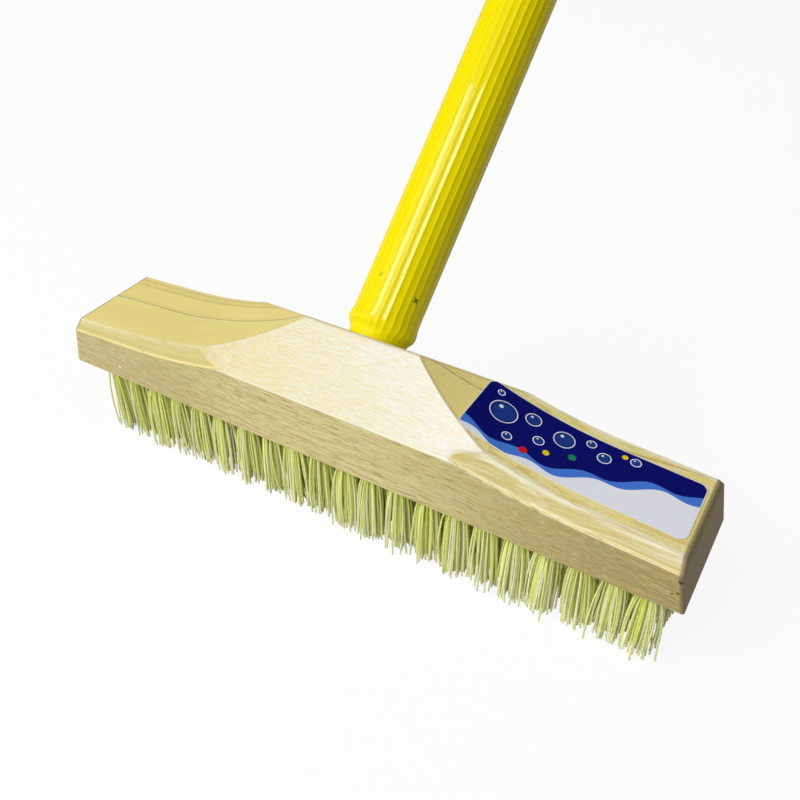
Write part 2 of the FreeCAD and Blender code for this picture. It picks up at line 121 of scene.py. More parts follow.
class Graph:
    """The nodes of one material."""

    def __init__(self, name: str) -> None:
        """Start an empty material of that name."""
        self.material = bpy.data.materials.new(name)
        self.material.use_nodes = True
        self.tree = self.material.node_tree
        self.tree.nodes.clear()

    def node(self, kind: str, settings: dict | None = None, sockets: dict | None = None, out: str = "") -> Sock:
        """Add a node.

        Args:
            kind: The node's type, without its ShaderNode prefix.
            settings: Properties of the node, which are set first.
            sockets: Values or links of its inputs, by identifier.
            out: Identifier of the output that is wanted, or nothing for the first.

        Returns:
            The wanted output.
        """
        made = self.tree.nodes.new(f"ShaderNode{kind}")
        for key, value in (settings or {}).items():
            setattr(made, key, value)
        for key, value in (sockets or {}).items():
            target = next(socket for socket in made.inputs if socket.identifier == key)
            if isinstance(value, Sock):
                self.tree.links.new(value.socket, target)
            elif target.type == "RGBA":
                target.default_value = (*value, 1.0)
            else:
                target.default_value = value
        if not made.outputs:
            return Sock(self, None)
        wanted = out or made.outputs[0].identifier
        return Sock(self, next(socket for socket in made.outputs if socket.identifier == wanted))

    def math(self, operation: str, first: Sock | float, second: Sock | float = 0.0) -> Sock:
        """Return a Math node of one or two values."""
        return self.node("Math", {"operation": operation}, {"Value": first, "Value_001": second})

    def vector(self, operation: str, first: Sock, second: "Sock | Sequence[float]", out: str = "Vector") -> Sock:
        """Return a Vector Math node of two vectors."""
        return self.node("VectorMath", {"operation": operation}, {"Vector": first, "Vector_001": second}, out)

    def place(self) -> Sock:
        """Return the place on the object, in millimetres."""
        spot = self.node("TexCoord", out="Object")
        return self.vector("MULTIPLY", spot, (1 / MM, 1 / MM, 1 / MM))

    def split(self, spot: Sock) -> tuple[Sock, Sock, Sock]:
        """Return the three parts of a vector."""
        parts = [self.vector("DOT_PRODUCT", spot, axis, "Value") for axis in ((1, 0, 0), (0, 1, 0), (0, 0, 1))]
        return parts[0], parts[1], parts[2]

    def ramp(self, value: Sock, low: float, high: float) -> Sock:
        """Return a smooth step from 0 at low to 1 at high."""
        return self.node("MapRange", {"interpolation_type": "SMOOTHSTEP"},
                         {"Value": value, "From Min": low, "From Max": high}, "Result")

    def band(self, value: Sock, centre: Sock | float, half: float, soft: float) -> Sock:
        """Return 1 within half of a centre, falling to 0 over a soft edge."""
        return 1 - self.ramp(abs(value - centre), half, half + soft)

    def noise(self, spot: Sock, size: Sequence[float], detail: float = 2.0, roughness: float = 0.5) -> Sock:
        """Return noise whose features have a size in millimetres along each axis."""
        stretched = self.vector("MULTIPLY", spot, tuple(1 / length for length in size))
        return self.node("TexNoise", {}, {"Vector": stretched, "Scale": 1.0, "Detail": detail,
                                          "Roughness": roughness}, "Fac")

    def mix(self, share: Sock | float, first: "Sock | Colour", second: "Sock | Colour") -> Sock:
        """Return a mix of two colours."""
        return self.node("Mix", {"data_type": "RGBA"},
                         {"Factor_Float": share, "A_Color": first, "B_Color": second}, "Result_Color")

    def bump(self, height: Sock, depth: float) -> Sock:
        """Return the normal of a surface raised by a height times a depth in millimetres."""
        return self.node("Bump", {}, {"Strength": 1.0, "Distance": depth * MM, "Height": height})

    def surface(self, **sockets: object) -> bpy.types.Material:
        """Close the material with a Principled shader.

        Args:
            sockets: Its inputs, with underscores for the spaces in their names.

        Returns:
            The material.
        """
        named = {key.replace("_", " "): value for key, value in sockets.items()}
        named = {"Specular IOR Level" if key == "Specular" else key: value for key, value in named.items()}
        shader = self.node("BsdfPrincipled", {}, named)
        self.node("OutputMaterial", {}, {"Surface": shader})
        return self.material


@dataclass
class Grain:
    """The noises that the figure of the wood is drawn with."""

    streak: Sock
    pore: Sock
    fibre: Sock
    cloud: Sock
    sand: Sock
    fleck: Sock
    ripple: Sock


@dataclass(frozen=True)
class WoodFinish:
    """Bare planed hardwood, pale on the planed slopes and yellower where it is sanded."""

    planed: Colour = (0.75, 0.705, 0.415)
    # Whiter planed wood on the right of the slopes, which also paints in part of the broad sheen there.
    pale_wood_and_sheen: Colour = (0.785, 0.775, 0.73)
    sanded: Colour = (0.95, 0.81, 0.275)
    coved: Colour = (0.66, 0.58, 0.23)
    sawn: Colour = (0.82, 0.735, 0.34)
    sawn_left: Colour = (0.57, 0.47, 0.18)
    # Darker sawn face towards the right end: painted shade for the light falling off there, with a warmer tan.
    sawn_right_shade: Colour = (0.37, 0.285, 0.088)
    end_grain: Colour = (0.25, 0.18, 0.075)
    pale: Colour = (0.92, 0.88, 0.68)
    tan: Colour = (0.60, 0.45, 0.14)
    pore: Colour = (0.40, 0.27, 0.08)
    golden: Colour = (0.80, 0.64, 0.22)
    straw: Colour = (0.76, 0.63, 0.31)
    biscuit: Colour = (0.74, 0.60, 0.29)
    chalk: Colour = (0.95, 0.94, 0.88)
    ring_brown: Colour = (0.46, 0.34, 0.09)
    seam_brown: Colour = (0.66, 0.50, 0.12)
    # Painted highlight along the crests of the scoops.
    crest_highlight: Colour = (0.92, 0.88, 0.70)
    # Painted shade inside the pin-holes.
    hole_shade: Colour = (0.05, 0.04, 0.025)
    chip: Colour = (0.92, 0.92, 0.88)
    slope: float = 0.8333
    ridge: float = 68.8
    arris: float = 50.9
    half_width: float = 21.6
    half_length: float = 120.0
    base: float = 28.0
    end_lean: float = 12.3
    end_edge: tuple = (118.8, 119.7)
    end_shift: float = 0.4
    lip_end: float = 42.4
    lip_rise: float = 0.0594
    lip_run: float = 33.5
    lip_radius: float = 215.0
    crest_start: float = 15.7
    crest_drift: float = 0.018
    runout_depth: float = 15.5
    runout_slant: float = 2.81
    runout_edge: tuple = (61.3, 59.7)
    rim_shadow: float = 19.6
    grain_lean: float = 0.0007
    grain_wander: float = 5.0
    ring_wander: float = 2.0
    ring_bend: float = 22.0
    ring_lean: float = 0.17
    ring_lines: tuple = ((1.5, 0.12, 0.4, 0.95), (2.6, 0.6, 0.8, 0.12), (12.3, 0.12, 0.5, 0.55),
                         (14.6, 1.7, 0.9, 0.2), (15.5, 0.1, 0.35, 0.45), (18.0, 0.15, 0.5, 0.5))
    ring_dashes: float = 0.8
    pin_holes: tuple = (((115.2, -21.6, 34.75), 0.12), ((116.7, -21.6, 35.7), 0.2),
                        ((116.3, -21.6, 40.4), 0.3), ((116.9, -21.6, 40.0), 0.3))
    chip_at: tuple = (-94.9, -21.6, 33.5)

    def zones(self, graph: Graph, spot: Sock) -> dict[str, Sock]:
        """Return masks of the block's surfaces.

        Args:
            graph: The wood's nodes.
            spot: The place in millimetres.

        Returns:
            Masks of the faces, planed slopes, scoops, their crests, rims, lips and seams, and the ends.
        """
        x, y, z = graph.split(spot)
        depth, length = abs(y), abs(x)
        run = self.half_length - length
        lift = graph.math("MAXIMUM", run - self.lip_run, 0.0) ** 2 / (2 * self.lip_radius)
        rim_height = run * self.lip_rise + lift + self.lip_end
        brink = graph.math("MINIMUM", rim_height, self.ridge - self.slope * self.half_width)
        low = 1 - graph.ramp(z - brink, -0.6, -0.25)
        outer = graph.ramp(depth, self.half_width - 0.4, self.half_width - 0.15)
        face = graph.math("MAXIMUM", low, outer)
        above = z - self.ridge + depth * self.slope
        crest = depth - length * self.crest_drift - self.crest_start
        reach = length + (depth - self.runout_depth) * self.runout_slant
        left_rim = graph.ramp(x, 0, -9) * graph.ramp(crest, -0.6, 0.0)
        runout = graph.ramp(reach, *self.runout_edge) * left_rim
        planed = graph.math("MAXIMUM", graph.ramp(above, -0.5, -0.2), runout) * (1 - face)
        scoop = (1 - planed) * (1 - face)
        lean = math.tan(math.radians(self.end_lean))
        shift = graph.ramp(x, 60, 90) * self.end_shift
        end = graph.ramp(length + (z - self.base) * lean + shift, *self.end_edge)
        return {"face": face, "planed": planed, "scoop": scoop,
                "rim": scoop * graph.ramp(crest, -0.1, 0.4),
                "crest": scoop * graph.band(crest, -0.2, 0.5, 0.9),
                "lip": scoop * graph.ramp(depth, 20.2, 20.7),
                "seam": scoop * graph.band(above, -0.7, 0.15, 0.35), "end": end}

    def rings(self, graph: Graph, spot: Sock) -> tuple[Sock, Sock]:
        """Return the growth lines that the scoops cut through.

        Args:
            graph: The wood's nodes.
            spot: The place in millimetres.

        Returns:
            Masks of the dark lines and of the pale dashes beside the main one.
        """
        x, y, _ = graph.split(spot)
        wander = (graph.noise(spot, (60, 14, 14), 1) - 0.5) * self.ring_wander
        across = y - graph.math("MAXIMUM", x - self.ring_bend, 0.0) * self.ring_lean + wander
        lines = 0.0
        for at, half, soft, strength in self.ring_lines:
            lines = graph.band(across, at, half, soft) * strength + lines
        dashes = graph.noise(spot, (4, 0.8, 0.8), 2)
        dark = graph.math("MINIMUM", lines * (0.55 + graph.ramp(dashes, 0.35, 0.6) * 0.45), 1.0)
        return dark, graph.band(across, self.ring_dashes, 0.12, 0.4) * graph.ramp(dashes, 0.46, 0.58)

    def marks(self, graph: Graph, spot: Sock, face: Sock) -> tuple[Sock, Sock]:
        """Return masks of the pin-holes and of the one white chip on the front face.

        Args:
            graph: The wood's nodes.
            spot: The place in millimetres.
            face: The mask of the faces.

        Returns:
            The two masks.
        """
        front = face * (1 - graph.ramp(graph.split(spot)[1], -21.3, -20.9))
        dark = 0.0
        for at, half in self.pin_holes:
            gap = graph.vector("DISTANCE", spot, at, "Value")
            dark = (1 - graph.ramp(gap, half, half + 0.45)) + dark
        chip = 1 - graph.ramp(graph.vector("DISTANCE", spot, self.chip_at, "Value"), 0.3, 0.75)
        return front * dark, front * chip

    def grain(self, graph: Graph, spot: Sock) -> Grain:
        """Return the noises of the wood, whose lines lean on the left half."""
        x = graph.split(spot)[0]
        lean = graph.math("MAXIMUM", 0 - x, 0.0) ** 2 * self.grain_lean
        bend = graph.vector("ADD", spot, graph.node("CombineXYZ", {}, {
            "Y": (graph.noise(spot, (45, 25, 25), 1) - 0.5) * self.grain_wander,
            "Z": (graph.noise(spot, (38, 22, 22), 1) - 0.5) * self.grain_wander - lean}))
        return Grain(streak=graph.noise(bend, (24, 0.6, 0.6), 3, 0.65),
                     pore=graph.noise(bend, (7, 0.42, 0.42), 2, 0.6),
                     fibre=graph.noise(bend, (3.5, 0.25, 0.25), 2, 0.6),
                     cloud=graph.noise(spot, (50, 14, 14), 2),
                     sand=graph.noise(spot, (0.6, 0.5, 0.5), 2),
                     fleck=graph.noise(bend, (2.4, 0.45, 0.45), 2, 0.6),
                     ripple=graph.noise(bend, (48, 1.3, 1.3), 3, 0.65))

    def ground(self, graph: Graph, spot: Sock, zone: dict[str, Sock], grain: Grain) -> Sock:
        """Return the broad colours of the surfaces.

        Args:
            graph: The wood's nodes.
            spot: The place in millimetres.
            zone: The masks of the surfaces.
            grain: The noises of the wood.

        Returns:
            The colour, before its figure.
        """
        x, y, _ = graph.split(spot)
        face, scoop = zone["face"], zone["scoop"]
        # Painted sheen: the planed slopes turn whiter towards the right, partly paler wood and partly the broad
        # sheen there.
        sheen_fade = graph.ramp(x + y + (grain.cloud - 0.5) * 60, -70, 45)
        tone = graph.mix(sheen_fade, self.planed, self.pale_wood_and_sheen)
        tone = graph.mix(scoop, tone, self.sanded)
        tone = graph.mix(zone["rim"] * (1 - zone["lip"]), tone, self.coved)
        tone = graph.mix(face, tone, self.sawn)
        tone = graph.mix(graph.ramp(grain.cloud, 0.40, 0.70) * (scoop * 0.12 + face * 0.35), tone, self.tan)
        # Painted shade: the front face darkens towards the right end, where the light falls off, with a warmer tan.
        tone = graph.mix(face * graph.ramp(x, 10, 118) * 0.95, tone, self.sawn_right_shade)
        return graph.mix(face * graph.ramp(x, -30, -80) * 0.6, tone, self.sawn_left)

    def plain_figure(self, graph: Graph, spot: Sock, zone: dict[str, Sock], grain: Grain, tone: Sock) -> Sock:
        """Return the colour with the flecks of the planed slopes and the lines of the faces.

        Args:
            graph: The wood's nodes.
            spot: The place in millimetres.
            zone: The masks of the surfaces.
            grain: The noises of the wood.
            tone: The colour so far.

        Returns:
            The colour with this figure.
        """
        x, y, _ = graph.split(spot)
        face, planed = zone["face"], zone["planed"]
        worn = planed * (0.45 + graph.ramp(x + y * 1.5, 20, -100) * 0.55)
        tone = graph.mix(graph.ramp(grain.fleck, 0.49, 0.60) * worn, tone, self.golden)
        tone = graph.mix(graph.ramp(grain.streak, 0.50, 0.62) * planed * 0.4, tone, self.straw)
        tone = graph.mix(graph.ramp(grain.pore, 0.54, 0.66) * planed * 0.6, tone, self.biscuit)
        tone = graph.mix(graph.ramp(grain.fibre, 0.50, 0.68) * planed * 0.35, tone, self.chalk)
        tone = graph.mix(graph.ramp(grain.streak, 0.46, 0.60) * face * 0.75, tone, self.tan)
        tone = graph.mix(graph.ramp(grain.pore, 0.52, 0.66) * face * 0.7, tone, self.pore)
        return graph.mix(graph.ramp(grain.fibre, 0.48, 0.70) * face * 0.35, tone, self.pale)

    def scoop_figure(self, graph: Graph, spot: Sock, zone: dict[str, Sock], grain: Grain, tone: Sock) -> Sock:
        """Return the colour with the ripples, growth lines and edges of the scoops, a painted highlight along their
        crests and a painted shadow line near the lip.

        Args:
            graph: The wood's nodes.
            spot: The place in millimetres.
            zone: The masks of the surfaces.
            grain: The noises of the wood.
            tone: The colour so far.

        Returns:
            The colour with this figure.
        """
        x, y, _ = graph.split(spot)
        scoop, rim, lip = zone["scoop"], zone["rim"], zone["lip"]
        near = graph.ramp(x, -20, 20)
        side = graph.ramp(abs(y), 9, 13)
        tone = graph.mix(graph.ramp(grain.ripple, 0.48, 0.66) * scoop * near * side * 0.7, tone, self.pale)
        dull = scoop * (near * side * 0.5 + rim * 0.25)
        tone = graph.mix(graph.ramp(grain.ripple, 0.50, 0.36) * dull, tone, self.tan)
        tone = graph.mix(graph.ramp(grain.pore, 0.56, 0.70) * (rim + lip) * 0.35, tone, self.tan)
        tone = graph.mix(graph.ramp(grain.sand, 0.35, 0.70) * scoop * 0.2, tone, self.tan)
        ring, dash = self.rings(graph, spot)
        tone = graph.mix(ring * (scoop - rim) * 0.8, tone, self.ring_brown)
        tone = graph.mix(dash * (scoop - rim) * 0.6, tone, self.pale)
        tone = graph.mix(zone["seam"] * (0.25 + near * 0.3), tone, self.seam_brown)
        # Painted highlight: a pale line along each scoop's crest, strongest on the right, broken by the ripples.
        bright = zone["crest"] * (0.22 + near * 0.5)
        tone = graph.mix(bright * graph.ramp(grain.ripple, 0.28, 0.52), tone, self.crest_highlight)
        shadow = graph.band(abs(y), self.rim_shadow, 0.25, 0.5) * rim
        tone = graph.mix(shadow * (0.35 + grain.streak * 0.3), tone, self.tan)
        return graph.mix(lip * graph.ramp(grain.sand, 0.4, 0.65) * 0.6, tone, self.pale)

    def material(self) -> bpy.types.Material:
        """Return the wood material."""
        graph = Graph("bare_wood")
        spot = graph.place()
        _, y, z = graph.split(spot)
        zone = self.zones(graph, spot)
        grain = self.grain(graph, spot)
        face, scoop, end = zone["face"], zone["scoop"], zone["end"]

        tone = self.ground(graph, spot, zone, grain)
        tone = self.plain_figure(graph, spot, zone, grain, tone)
        tone = self.scoop_figure(graph, spot, zone, grain, tone)
        # Painted highlight: a thin pale line along the sharp arris of the front face, where a rounded edge would
        # catch the light.
        arris = graph.band(z, self.arris, 0.1, 0.5) * graph.ramp(abs(y), 20.9, 21.3)
        tone = graph.mix(arris * (0.3 + grain.streak * 0.5), tone, self.pale)
        tone = graph.mix(end * (0.85 + graph.ramp(grain.sand, 0.4, 0.7) * 0.15), tone, self.end_grain)
        dark, white = self.marks(graph, spot, face)
        # Painted shade: the pin-holes are darkened to near black.
        tone = graph.mix(dark * 0.8, tone, self.hole_shade)
        tone = graph.mix(white, tone, self.chip)

        height = grain.streak * (0.4 + face * 0.6) + grain.pore * face + grain.fibre * 0.5
        height = height + grain.sand * scoop * 0.5 - dark * 2
        rough = 0.38 + scoop * 0.16 + end * 0.2 + grain.sand * 0.12
        return graph.surface(Base_Color=tone, Roughness=rough, Normal=graph.bump(height, 0.06), Specular=0.35)


@dataclass(frozen=True)
class LabelFinish:
    """Printed film: a navy field with a rising wave, bubbles and a few coloured dots."""

    navy: Colour = (0.003, 0.0045, 0.15)
    white: Colour = (0.86, 0.88, 0.95)
    sky: Colour = (0.06, 0.20, 0.72)
    cream: Colour = (0.86, 0.82, 0.66)
    speck: Colour = (0.25, 0.3, 0.6)
    left: float = 41.6
    size: tuple = (72.4, 25.4)
    corner: float = 3.0
    swell: float = 15.0
    wave_rate: float = 0.34
    wave_height: float = 1.3
    wave_base: float = 11.5
    bubbles: tuple = ((9.0, 2.4, 4.4), (17.6, 6.4, 2.5), (22.4, -0.6, 1.7), (28.6, 5.2, 3.3), (36.2, 9.0, 1.5),
                      (14.0, -5.8, 1.5), (5.0, 9.2, 1.1), (41.6, 5.6, 2.1), (50.4, 9.4, 1.6))
    dots: tuple = ((20.2, -7.4, 1.3, (0.62, 0.012, 0.012)), (26.2, -3.6, 1.0, (0.80, 0.66, 0.01)),
                   (33.4, -0.2, 1.2, (0.01, 0.24, 0.10)), (46.8, 9.8, 0.9, (0.80, 0.66, 0.01)))

    def material(self) -> bpy.types.Material:
        """Return the film material."""
        graph = Graph("printed_film")
        spot = graph.place()
        x, across, _ = graph.split(spot)
        along = x - self.left
        tone = graph.mix(0.0, self.navy, self.navy)
        swell = graph.ramp(along, 18, 74) * self.swell
        for shade, lift, phase in ((self.sky, 2.6, 1.3), (self.white, 0.0, 0.0)):
            wave = graph.math("SINE", along * self.wave_rate + phase) * self.wave_height
            crest = swell + wave + (lift - self.wave_base)
            tone = graph.mix(1 - graph.ramp(across - crest, -0.12, 0.12), tone, shade)
        for at, up, size in self.bubbles:
            gap = self.distance(graph, along - at, across - up)
            shine = self.distance(graph, along - (at - size * 0.35), across - (up + size * 0.35))
            tone = graph.mix((1 - graph.ramp(gap, size * 0.7, size)) * 0.2, tone, self.sky)
            tone = graph.mix(graph.band(gap, size, 0.11, 0.1), tone, self.white)
            tone = graph.mix(1 - graph.ramp(shine, size * 0.14, size * 0.14 + 0.15), tone, self.white)
        for at, up, size, shade in self.dots:
            tone = graph.mix(1 - graph.ramp(self.distance(graph, along - at, across - up), size, size + 0.12),
                             tone, shade)
        half_length, half_width = self.size[0] / 2, self.size[1] / 2
        reach = graph.math("MAXIMUM", abs(along - half_length) - (half_length - self.corner), 0.0)
        spread = graph.math("MAXIMUM", abs(across) - (half_width - self.corner), 0.0)
        edge = graph.ramp(self.distance(graph, reach, spread), self.corner - 0.42, self.corner - 0.3)
        tone = graph.mix(edge, tone, self.cream)
        grit = graph.noise(spot, (0.22, 0.22, 0.22), 1)
        tone = graph.mix(graph.ramp(grit, 0.62, 0.8) * 0.06, tone, self.speck)
        return graph.surface(Base_Color=tone, Roughness=0.26 + grit * 0.1, Specular=0.06,
                             Normal=graph.bump(graph.noise(spot, (9, 6, 6), 1), 0.05))

    def distance(self, graph: Graph, along: Sock, across: Sock) -> Sock:
        """Return the distance from a point of the label."""
        return graph.math("SQRT", along ** 2 + across ** 2)


@dataclass(frozen=True)
class BristleFinish:
    """Pale yellow-green filament, creamier at its cut tips, with painted shade near its roots."""

    green: Colour = (0.89, 0.945, 0.25)
    pale: Colour = (0.94, 0.975, 0.68)
    # Painted shade: darker, more saturated yellow-green near the roots, as in the shade under the block.
    root: Colour = (0.86, 0.90, 0.08)
    tip: Colour = (0.90, 0.94, 0.60)

    def material(self) -> bpy.types.Material:
        """Return the filament material."""
        graph = Graph("bristle_filament")
        tone = graph.node("Attribute", {"attribute_name": "tone"}, out="Fac")
        reach = graph.node("Attribute", {"attribute_name": "reach"}, out="Fac")
        shade = graph.mix(tone, self.green, self.pale)
        # Painted shade towards the roots, under the block.
        shade = graph.mix((1 - graph.ramp(reach, 0.1, 0.5)) * 0.5, shade, self.root)
        shade = graph.mix(graph.ramp(reach, 0.75, 1.0) * 0.5, shade, self.tip)
        return graph.surface(Base_Color=shade, Roughness=0.42 + tone * 0.12, Specular=0.25, Subsurface_Weight=0.15,
                             Subsurface_Radius=(1.0, 1.0, 0.6), Subsurface_Scale=0.4 * MM)


@dataclass(frozen=True)
class FilmFinish:
    """Glossy yellow plastic film with a painted highlight on its ribs and painted shade in the punch marks that
    stake the plug.
    """

    yellow: Colour = (0.93, 0.775, 0.001)
    # Painted highlight on the raised ribs.
    rib_highlight: Colour = (0.98, 0.87, 0.015)
    smudged: Colour = (0.86, 0.68, 0.0)
    # Painted shade in the punch marks.
    dent_shade: Colour = (0.10, 0.09, 0.0)
    coat: float = 0.12

    def punch(self, graph: Graph, spot: Sock, axis: "HandleAxis", turn: float, rise: float, size: float) -> Sock:
        """Return the mask of one star-shaped punch mark.

        Args:
            graph: The film's nodes.
            spot: The place in millimetres.
            axis: The handle's axis.
            turn: Angle of the mark about the axis, in degrees.
            rise: Height of the mark along the axis, in millimetres.
            size: Half width of the star, in millimetres.

        Returns:
            A mask of the star.
        """
        angle = math.radians(turn)
        facing = axis.side * math.cos(angle) + axis.front * math.sin(angle)
        tangent = axis.front * math.cos(angle) - axis.side * math.sin(angle)
        gap = graph.vector("SUBTRACT", spot, (axis.seat + axis.along * rise * MM) / MM)
        first = graph.vector("DOT_PRODUCT", gap, (tangent * 0.8 + axis.along * 0.6), "Value")
        second = graph.vector("DOT_PRODUCT", gap, (axis.along * 0.8 - tangent * 0.6), "Value")
        near = graph.ramp(graph.vector("DOT_PRODUCT", gap, facing, "Value"), 5, 8)
        spread = abs(first) ** 0.5 + abs(second) ** 0.5
        return near * (1 - graph.ramp(spread, size ** 0.5 * 0.55, size ** 0.5))

    def material(self, axis: "HandleAxis") -> bpy.types.Material:
        """Return the film material for a handle along that axis."""
        graph = Graph("ribbed_film")
        spot = graph.place()
        rib_highlight = graph.node("Attribute", {"attribute_name": "rib_highlight"}, out="Fac")
        deep = self.punch(graph, spot, axis, -27, 15.6, 2.4)
        faint = self.punch(graph, spot, axis, -103, 19.3, 1.9)
        smudge = graph.noise(spot, (9, 9, 9), 2)
        # Painted highlight: the ribs are lighter where they would catch the light.
        tone = graph.mix(rib_highlight * 0.75, self.yellow, self.rib_highlight)
        tone = graph.mix(graph.ramp(smudge, 0.5, 0.8) * 0.15, tone, self.smudged)
        # Painted shade: the punch marks are darkened to near black.
        tone = graph.mix(deep * 0.9 + faint * 0.35, tone, self.dent_shade)
        height = graph.noise(spot, (3, 3, 3), 1) * 0.12 - deep * 6 - faint * 3
        return graph.surface(Base_Color=tone, Roughness=0.22 + smudge * 0.1 + deep * 0.3,
                             Normal=graph.bump(height, 0.1), Specular=0.02, Coat_Weight=self.coat - deep * self.coat,
                             Coat_Roughness=0.03)


@dataclass(frozen=True)
class SteelFinish:
    """Drawn steel with fine scratches along it."""

    name: str
    bright: Colour = (0.58, 0.58, 0.59)
    dull: Colour = (0.36, 0.355, 0.35)
    grain: tuple = (0.3, 12.0, 12.0)

    def material(self) -> bpy.types.Material:
        """Return the steel material."""
        graph = Graph(self.name)
        spot = graph.place()
        scratch = graph.noise(spot, self.grain, 3, 0.6)
        stain = graph.noise(spot, (6, 6, 6), 2)
        worn = graph.ramp(scratch, 0.3, 0.7) * 0.6 + graph.ramp(stain, 0.5, 0.8) * 0.3
        tone = graph.mix(worn, self.bright, self.dull)
        return graph.surface(Base_Color=tone, Metallic=1.0, Roughness=0.28 + scratch * 0.2,
                             Normal=graph.bump(scratch, 0.01))


@dataclass(frozen=True)
class PlasticFinish:
    """Moulded plastic with a fine pebbled skin and handling marks."""

    name: str
    colour: Colour
    scuffed: Colour
    gloss: float = 0.4

    def material(self) -> bpy.types.Material:
        """Return the plastic material."""
        graph = Graph(self.name)
        spot = graph.place()
        skin = graph.noise(spot, (0.35, 0.35, 0.35), 2)
        wear = graph.noise(spot, (7, 7, 7), 3, 0.6)
        tone = graph.mix(graph.ramp(wear, 0.48, 0.78) * 0.5, self.colour, self.scuffed)
        return graph.surface(Base_Color=tone, Roughness=self.gloss + wear * 0.15 + skin * 0.08,
                             Normal=graph.bump(skin, 0.03))


@dataclass(frozen=True)
class FloorFinish:
    """A pale floor that stays white to the camera and keeps the shadow of the object."""

    share: float = 0.9
    pale: Colour = (0.95, 0.95, 0.95)
    dim: Colour = (0.25, 0.25, 0.25)

    def material(self) -> bpy.types.Material:
        """Return the floor material."""
        graph = Graph("pale_floor")
        kinds = ("Is Camera Ray", "Is Glossy Ray", "Is Transmission Ray")
        direct, glossy, through = (graph.node("LightPath", out=kind) for kind in kinds)
        seen = graph.math("MINIMUM", direct + glossy + through, 1.0)
        white = graph.node("Emission", {}, {"Color": (1.0, 1.0, 1.0), "Strength": 1.0})
        pale = graph.node("BsdfDiffuse", {}, {"Color": self.pale})
        dim = graph.node("BsdfDiffuse", {}, {"Color": self.dim})
        clear = graph.node("BsdfTransparent")
        bright = graph.node("MixShader", {}, {"Fac": self.share, "Shader": pale, "Shader_001": white})
        lit = graph.node("MixShader", {}, {"Fac": seen, "Shader": dim, "Shader_001": bright})
        behind = graph.node("NewGeometry", out="Backfacing")
        shown = graph.node("MixShader", {}, {"Fac": behind, "Shader": lit, "Shader_001": clear})
        graph.node("OutputMaterial", {}, {"Surface": shown})
        return graph.material


def dress(node: str, material: bpy.types.Material) -> None:
    """Give a CAD node a material in place of its own."""
    slots = frame["nodes"][node].data.materials
    slots.clear()
    slots.append(material)
    log.info("%s dressed in %s", node, material.name)


def finish_piece(mesh: bmesh.types.BMesh, name: str, node: str, body: Body,
                 material: bpy.types.Material, crease: float) -> bpy.types.Object:
    """Make a bmesh an object that stands for a CAD node.

    Args:
        mesh: The piece, in the shared frame; it is freed.
        name: Name of the new object.
        node: The CAD node that it stands for.
        body: The body that it rides on.
        material: Its material.
        crease: Angle in degrees above which an edge stays sharp.

    Returns:
        The object.
    """
    data = bpy.data.meshes.new(name)
    mesh.to_mesh(data)
    mesh.free()
    data.shade_smooth()
    data.set_sharp_from_angle(angle=math.radians(crease))
    data.materials.append(material)
    piece = bpy.data.objects.new(name, data)
    bpy.context.scene.collection.objects.link(piece)
    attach(piece, body.value)
    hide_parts(node)
    log.info("%s made of %d faces for %s", name, len(data.polygons), node)
    return piece


def extrude_rings(mesh: bmesh.types.BMesh, edges: list[bmesh.types.BMEdge]) -> tuple[list, list]:
    """Extrude open rings of edges.

    Args:
        mesh: The bmesh.
        edges: The edges of the rings.

    Returns:
        The new rings' vertices and edges.
    """
    made = bmesh.ops.extrude_edge_only(mesh, edges=edges)["geom"]
    verts = [item for item in made if isinstance(item, bmesh.types.BMVert)]
    rings = [item for item in made if isinstance(item, bmesh.types.BMEdge) and item.is_boundary]
    return verts, rings


@dataclass
class BrushHead:
    """The wooden block, its label and the wires that hold the tufts."""

    rows: int = 5

    def build(self) -> None:
        """Dress the solids that keep their own shape."""
        dress("brush_block", WoodFinish().material())
        dress("label", LabelFinish().material())
        wire = SteelFinish("flat_wire").material()
        for row in range(1, self.rows + 1):
            dress(f"anchor_row_{row}", wire)


@dataclass
class Filament:
    """One filament of a tuft: where it starts, where its tip is, and how it bows."""

    root: Vector
    tip: Vector
    bow: Vector
    tone: float
    buried: float = 0.125
    opening: float = 0.42

    def at(self, reach: float) -> Vector:
        """Return the point at a share of the filament's length."""
        spread = max(0.0, (reach - self.buried) / (1 - self.buried)) ** self.opening
        spot = self.root.lerp(self.tip, spread)
        spot.z = self.root.z + (self.tip.z - self.root.z) * reach
        return spot + self.bow * math.sin(math.pi * reach)


